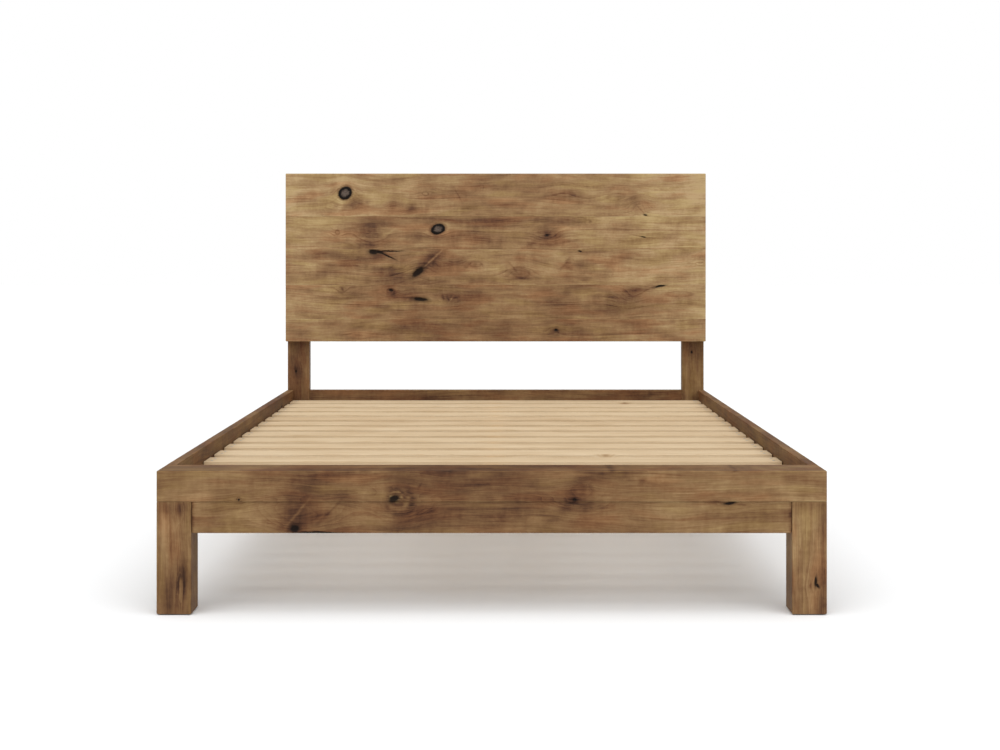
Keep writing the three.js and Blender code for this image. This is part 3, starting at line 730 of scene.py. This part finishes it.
def carve_board(name, ease=EASE, glued=(), tight=()):
    """Rebuilds a CAD board with its eased edges, and with its knots and cracks sunk into both of its faces.
    glued and tight list the (axis, end) sides that meet a neighbour, whose edges are hardly eased."""
    timber = TIMBERS[name]
    low, high = (np.array(corner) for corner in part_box(name))
    along_axis, across_axis, through_axis = timber.axes
    eases = np.full((3, 2), ease)
    for axis, end in glued:
        eases[axis, end] = SEAM
        if end:
            high[axis] += GLUE
        else:
            low[axis] -= GLUE
    for side in tight:
        eases[side] = TIGHT
    sunk = timber.knots + timber.darks
    fine = {
        along_axis: [(m[0] / 1000, reach_of(m, math.cos, math.sin) / 1000) for m in sunk],
        across_axis: [(m[1] / 1000, reach_of(m, math.sin, math.cos) / 1000) for m in sunk],
        through_axis: [],
    }
    lines = [grid_lines(low[axis], high[axis], eases[axis], fine[axis]) for axis in range(3)]
    vertices, faces = box_shell(lines)
    core = np.clip(vertices, low + eases[:, 0], high - eases[:, 1])
    out = vertices - core
    round_off = np.where(out < 0, eases[:, 0], eases[:, 1])
    share = out / round_off
    length = np.linalg.norm(share, axis=1, keepdims=True)
    rounded = core + share / np.maximum(length, 1.0) * round_off

    through = vertices[:, through_axis]
    on_face = np.minimum(through - low[through_axis], high[through_axis] - through) < 1e-6
    depth = sink(timber, vertices[:, along_axis], vertices[:, across_axis]) * on_face
    middle = (low[through_axis] + high[through_axis]) / 2
    rounded[:, through_axis] += depth * np.sign(middle - through)

    piece = new_piece(name + "_carved", rounded, faces)
    piece.data.set_sharp_from_angle(angle=math.radians(50))
    piece.modifiers.new("flat faces", "WEIGHTED_NORMAL")
    piece.data.materials.append(paint_timber(name))
    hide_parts(name)
    belong(piece, "bed_frame")


def reach_of(mark, main, side):
    """How far a tilted mark reaches along one axis, in millimetres."""
    turn = math.radians(mark[4])
    return 1.25 * math.hypot(mark[2] * main(turn), mark[3] * side(turn)) + 1


def box_shell(lines):
    """Vertices and quads of a box's six sides, with a grid line at every place in lines."""
    index, vertices, faces = {}, [], []

    def vertex(key):
        if key not in index:
            index[key] = len(vertices)
            vertices.append([lines[axis][key[axis]] for axis in range(3)])
        return index[key]

    for axis in range(3):
        first, second = (axis + 1) % 3, (axis + 2) % 3
        for end in (0, len(lines[axis]) - 1):
            for i in range(len(lines[first]) - 1):
                for j in range(len(lines[second]) - 1):
                    corners = []
                    for step_i, step_j in ((0, 0), (1, 0), (1, 1), (0, 1)):
                        key = [0, 0, 0]
                        key[axis], key[first], key[second] = end, i + step_i, j + step_j
                        corners.append(vertex(tuple(key)))
                    faces.append(corners if end else corners[::-1])
    return np.array(vertices), faces


def new_piece(name, vertices, faces):
    mesh = bpy.data.meshes.new(name)
    mesh.from_pydata([tuple(v) for v in vertices], [], faces)
    mesh.shade_smooth()
    mesh.update()
    return add_object(name, mesh)


def belong(piece, body):
    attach(piece, body)


# ---- Screws and threads ----

HEAD_SIDES = 24


def ring_points(radii, height):
    """Points evenly round Z at a height, one at each radius."""
    turns = [math.tau * side / len(radii) for side in range(len(radii))]
    return [Vector((r * math.cos(turn), r * math.sin(turn), height)) for r, turn in zip(radii, turns)]


def screw_head(mesh, place, toward, radius, rise=0.0006):
    """Adds a countersunk screw head with a cross recess, its face at place and looking toward a direction."""
    profile = [(1.0, -0.0026), (1.0, -0.0003), (0.94, rise * 0.55), (0.7, rise * 0.9), (0.46, rise)]
    rings = [ring_points([radius * share] * HEAD_SIDES, height) for share, height in profile]
    recess = [radius * (0.42 if side % 6 in (0, 1, 5) else 0.17) for side in range(HEAD_SIDES)]
    rings.append(ring_points(recess, rise))
    rings.append(ring_points([reach * 0.7 for reach in recess], -0.0016))
    turn = Vector(toward).to_track_quat("Z", "Y").to_matrix().to_4x4()
    spin = Matrix.Rotation(place[0] * 57 + place[1] * 91 + place[2] * 33, 4, "Z")
    matrix = Matrix.Translation(place) @ turn @ spin
    made = [[mesh.verts.new(matrix @ point) for point in ring] for ring in rings]
    for lower, upper in zip(made, made[1:]):
        for side in range(HEAD_SIDES):
            after = (side + 1) % HEAD_SIDES
            mesh.faces.new((lower[side], lower[after], upper[after], upper[side]))
    mesh.faces.new(list(reversed(made[0])))
    mesh.faces.new(made[-1])


def finish_steel(name, mesh, body):
    """Makes a steel piece of a finished bmesh, which it frees."""
    data = bpy.data.meshes.new(name)
    mesh.to_mesh(data)
    mesh.free()
    data.shade_smooth()
    data.set_sharp_from_angle(angle=math.radians(40))
    data.materials.append(steel)
    belong(add_object(name, data), body)


def make_screws(name, places, toward, radius):
    mesh = bmesh.new()
    for place in places:
        screw_head(mesh, place, toward, radius)
    finish_steel(name, mesh, "bed_frame")


def make_thread(name, axis, bottom, top, root, crest, pitch):
    """A rolled thread wound round a vertical stem of the root radius."""
    mesh = bmesh.new()
    sides = 20
    buried = root - 0.0002
    profile = (
        (buried, -0.48), (root, -0.40), (crest, -0.08), (crest, 0.08), (root, 0.40), (buried, 0.48),
    )
    rows = []
    for step in range(int((top - bottom) / pitch * sides) + 1):
        angle, z = math.tau * step / sides, bottom + pitch * step / sides
        across = (math.cos(angle), math.sin(angle))
        rows.append([
            mesh.verts.new((axis[0] + r * across[0], axis[1] + r * across[1], z + rise * pitch))
            for r, rise in profile
        ])
    for row, after in zip(rows, rows[1:]):
        for side in range(len(profile)):
            following = (side + 1) % len(profile)
            mesh.faces.new((row[side], after[side], after[following], row[following]))
    mesh.faces.new(rows[0])
    mesh.faces.new(list(reversed(rows[-1])))
    finish_steel(name, mesh, "levelling_foot")


def make_flanges(name, places, outside, inside, thickness):
    """Round flanges at the feet of hexagon heads whose bolts run along Y, each from place toward its sign."""
    mesh = bmesh.new()
    profile = ((inside, 0.0), (outside, 0.0), (outside, thickness * 0.6), (inside, thickness))
    turns = [math.tau * side / HEAD_SIDES for side in range(HEAD_SIDES)]
    for x, y, z, sign in places:
        rings = [
            [mesh.verts.new((x + r * math.cos(t), y + sign * height, z + r * math.sin(t))) for t in turns]
            for r, height in profile
        ]
        for lower, upper in zip(rings, rings[1:] + rings[:1]):
            for side in range(HEAD_SIDES):
                after = (side + 1) % HEAD_SIDES
                corners = (lower[side], upper[side], upper[after], lower[after])
                mesh.faces.new(corners if sign > 0 else corners[::-1])
    finish_steel(name, mesh, "bed_frame")


# ---- Floor and light ----

SUN_HEIGHT, SUN_STRENGTH, SUN_SPREAD = 60, 3.05, 96
ROOM_COLOUR, ROOM_LIGHT = (0.95, 0.98, 1.0, 1), 0.35


def make_studio():
    bpy.ops.mesh.primitive_plane_add(size=80)
    floor = bpy.context.object
    floor.name = "floor"
    material, _, shader = new_material("floor_paint")
    shader.inputs["Base Color"].default_value = (0.92, 0.925, 0.93, 1)
    shader.inputs["Roughness"].default_value = 0.95
    shader.inputs["Specular IOR Level"].default_value = 0.0
    floor.data.materials.append(material)

    world = bpy.data.worlds.new("studio")
    world.use_nodes = True
    tree = world.node_tree
    room = tree.nodes["Background"]
    room.inputs["Color"].default_value = ROOM_COLOUR
    room.inputs["Strength"].default_value = ROOM_LIGHT
    backdrop = tree.nodes.new("ShaderNodeBackground")
    backdrop.inputs["Color"].default_value = (1, 1, 1, 1)
    chooser = tree.nodes.new("ShaderNodeMixShader")
    ray = tree.nodes.new("ShaderNodeLightPath")
    tree.links.new(ray.outputs["Is Camera Ray"], chooser.inputs[0])
    tree.links.new(room.outputs[0], chooser.inputs[1])
    tree.links.new(backdrop.outputs[0], chooser.inputs[2])
    tree.links.new(chooser.outputs[0], tree.nodes["World Output"].inputs["Surface"])
    bpy.context.scene.world = world
    bpy.context.scene.view_settings.view_transform = "Standard"

    data = bpy.data.lights.new("softbox", "SUN")
    data.energy = SUN_STRENGTH
    data.angle = math.radians(SUN_SPREAD)
    softbox = add_object("softbox", data)
    softbox.location = (0, -3, 5)
    softbox.rotation_euler = (math.radians(90 - SUN_HEIGHT), 0, 0)


# ---- Assembly ----

HEAD_ROWS, SLATS, LEDGER_SCREWS = range(1, 6), range(1, 15), 8
BOTTOM, TOP = (2, 0), (2, 1)  # a board's lower and upper side, as (axis, end)
SIDES = (("left", 1), ("right", -1))  # with the sign of X toward the bed's middle
ENDS = (("front", 1), ("rear", -1))  # with the sign of Y toward the bed's middle
UP, DOWN, BACK = (0, 0, 1), (0, 0, -1), (0, 1, 0)
LOWER_RAIL_EASE, SIDE_RAIL_EASE, STEEL_EASE = 0.0035, 0.002, 0.0005
BRACKET_THICKNESS, HANGER_THICKNESS = 0.003, 0.002

SMALL_HEAD, MIDDLE_HEAD, LARGE_HEAD = 0.0042, 0.0045, 0.0048  # the radii of the screws' heads
SLAT_INSET, BRACKET_INSET, BATTEN_INSET = (0.019, 0.022), 0.016, 0.018  # screws from the edges
HANGER_INSET, PLATE_INSET = (0.011, 0.014), (0.013, 0.012)
BRACKET_REACHES = (0.020, 0.046)  # from the bracket's corner, along the side rail
BATTEN_STAGGER = 0.012  # above or below the middle of a board
POST_SHARES, POST_HEIGHTS = (0.3, 0.7), (0.60, 0.78, 0.96, 1.13)  # across a post, and above the floor
FLANGE_OUTSIDE, FLANGE_INSIDE, FLANGE_THICKNESS, FLANGE_GAP = 0.0105, 0.0070, 0.0015, 0.0003
THREAD_START, THREAD_END = 0.044, 0.002  # below the stem's top
STEM_RADIUS, THREAD_RADIUS, THREAD_PITCH = 0.0050, 0.0052, 0.0015

STEEL_PIECES = ("corner_bracket", "bolt", "centre_beam_hanger", "centre_leg_", "levelling_foot_stem")
NYLON_PIECES = ("glide", "levelling_foot_pad")
ROUNDED_PIECES = ("corner_bracket", "centre_beam_hanger", "bolt_", "centre_leg_plate")


def carve_timbers():
    for row in HEAD_ROWS:
        joined = [BOTTOM] * (row > HEAD_ROWS[0]) + [TOP] * (row < HEAD_ROWS[-1])
        carve_board(f"headboard_board_{row}", glued=joined)
    carve_board("front_beam", tight=[BOTTOM])
    carve_board("front_lower_rail", ease=LOWER_RAIL_EASE, tight=[TOP])
    for side, _ in SIDES:
        carve_board(f"front_leg_{side}", tight=[TOP])
        carve_board(f"headboard_post_{side}")
        carve_board(f"side_rail_{side}", ease=SIDE_RAIL_EASE)


def paint_cad_pieces():
    """Paints the pieces that keep their CAD shape, and rounds the edges of sheet steel and bolts."""
    for name in ("headboard_batten_left", "headboard_batten_right", "head_cross_rail", "foot_inner_rail"):
        nodes[name].material_slots[0].material = paint_timber(name)
    slat_low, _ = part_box("slat_01")
    next_low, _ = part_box("slat_02")
    slat_pitch = (next_low.y - slat_low.y) * 1000
    slat_wood = paint_pale_wood("slat_pine", (0, 1, 2), slat_pitch, slat_low.y * 1000 - 30, 3.0)
    beam_wood = paint_pale_wood("support_pine", (1, 0, 2), 900.0, -450.0, 5.0)
    leg_wood = paint_pale_wood("leg_pine", (2, 0, 1), 900.0, -450.0, 8.0)
    for name, node in nodes.items():
        painted = node.material_slots[0]
        if name.startswith("slat_ledger") or name == "centre_beam":
            painted.material = beam_wood
        elif name.startswith("slat_"):
            painted.material = slat_wood
        elif name == "centre_leg":
            painted.material = leg_wood
        elif name.startswith(STEEL_PIECES):
            painted.material = steel
        elif name.startswith(NYLON_PIECES):
            painted.material = nylon
        if name.startswith(ROUNDED_PIECES):
            rounding = node.modifiers.new("rounded edges", "BEVEL")
            rounding.width = STEEL_EASE
            rounding.segments = 2
            rounding.limit_method = "ANGLE"
            rounding.angle_limit = math.radians(40)


def inset(low, high, distance):
    return low + distance, high - distance


def screw_slats():
    places = []
    for number in SLATS:
        low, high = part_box(f"slat_{number:02d}")
        for x in inset(low.x, high.x, SLAT_INSET[0]):
            places += [(x, y, high.z) for y in inset(low.y, high.y, SLAT_INSET[1])]
    make_screws("slat_screws", places, UP, SMALL_HEAD)


def screw_brackets(side, inward):
    """Screws one side's corner brackets to its side rail, and returns where their bolts' flanges go."""
    screws, flanges = [], []
    for end, onward in ENDS:
        low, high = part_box(f"corner_bracket_{end}_{side}")
        x = (low.x if inward > 0 else high.x) + inward * BRACKET_THICKNESS
        corner_y = low.y if onward > 0 else high.y
        for reach in BRACKET_REACHES:
            screws += [(x, corner_y + onward * reach, z) for z in inset(low.z, high.z, BRACKET_INSET)]
        for level in ("lower", "upper"):
            bolt_low, bolt_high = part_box(f"bolt_{end}_{side}_{level}")
            middle = (bolt_low + bolt_high) / 2
            seat = corner_y + onward * (BRACKET_THICKNESS + FLANGE_GAP)
            flanges.append((middle.x, seat, middle.z, onward))
    make_screws(f"bracket_screws_{side}", screws, (inward, 0, 0), MIDDLE_HEAD)
    return flanges


def screw_ledger(side, inward):
    low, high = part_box(f"slat_ledger_{side}")
    x = high.x if inward > 0 else low.x
    spots = [low.y + (high.y - low.y) * (index + 0.5) / LEDGER_SCREWS for index in range(LEDGER_SCREWS)]
    screws = [(x, y, (low.z + high.z) / 2) for y in spots]
    make_screws(f"ledger_screws_{side}", screws, (inward, 0, 0), MIDDLE_HEAD)


def screw_headboard(side):
    """Screws one post and one batten to the back of the headboard."""
    low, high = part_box(f"headboard_post_{side}")
    screws = []
    for share in POST_SHARES:
        screws += [(low.x + share * (high.x - low.x), high.y, z) for z in POST_HEIGHTS]
    make_screws(f"post_screws_{side}", screws, BACK, LARGE_HEAD)

    low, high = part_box(f"headboard_batten_{side}")
    left, right = inset(low.x, high.x, BATTEN_INSET)
    screws = []
    for row in HEAD_ROWS:
        board_low, board_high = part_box(f"headboard_board_{row}")
        z = (max(board_low.z, low.z) + min(board_high.z, high.z)) / 2
        screws += [(left, high.y, z - BATTEN_STAGGER), (right, high.y, z + BATTEN_STAGGER)]
    make_screws(f"batten_screws_{side}", screws, BACK, MIDDLE_HEAD)


def screw_centre():
    """Screws the centre beam's hangers to the rails, and the leg's plate to the beam."""
    for end, onward in ENDS:
        low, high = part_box(f"centre_beam_hanger_{end}")
        face = (low.y if onward > 0 else high.y) + onward * HANGER_THICKNESS
        screws = []
        for x in inset(low.x, high.x, HANGER_INSET[0]):
            screws += [(x, face, z) for z in inset(low.z, high.z, HANGER_INSET[1])]
        make_screws(f"hanger_screws_{end}", screws, (0, onward, 0), MIDDLE_HEAD)

    low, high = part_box("centre_leg_plate")
    screws = []
    for x in inset(low.x, high.x, PLATE_INSET[0]):
        screws += [(x, y, low.z) for y in inset(low.y, high.y, PLATE_INSET[1])]
    make_screws("leg_plate_screws", screws, DOWN, SMALL_HEAD)


def thread_stem():
    low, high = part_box("levelling_foot_stem")
    make_thread(
        "levelling_foot_thread", ((low.x + high.x) / 2, (low.y + high.y) / 2),
        high.z - THREAD_START, high.z - THREAD_END, STEM_RADIUS, THREAD_RADIUS, THREAD_PITCH,
    )


make_camera()
steel = paint_steel()
nylon = paint_nylon()
make_studio()
carve_timbers()
paint_cad_pieces()
screw_slats()
all_flanges = []
for side_name, inward_sign in SIDES:
    all_flanges += screw_brackets(side_name, inward_sign)
    screw_ledger(side_name, inward_sign)
    screw_headboard(side_name)
make_flanges("bolt_flanges", all_flanges, FLANGE_OUTSIDE, FLANGE_INSIDE, FLANGE_THICKNESS)
screw_centre()
thread_stem()
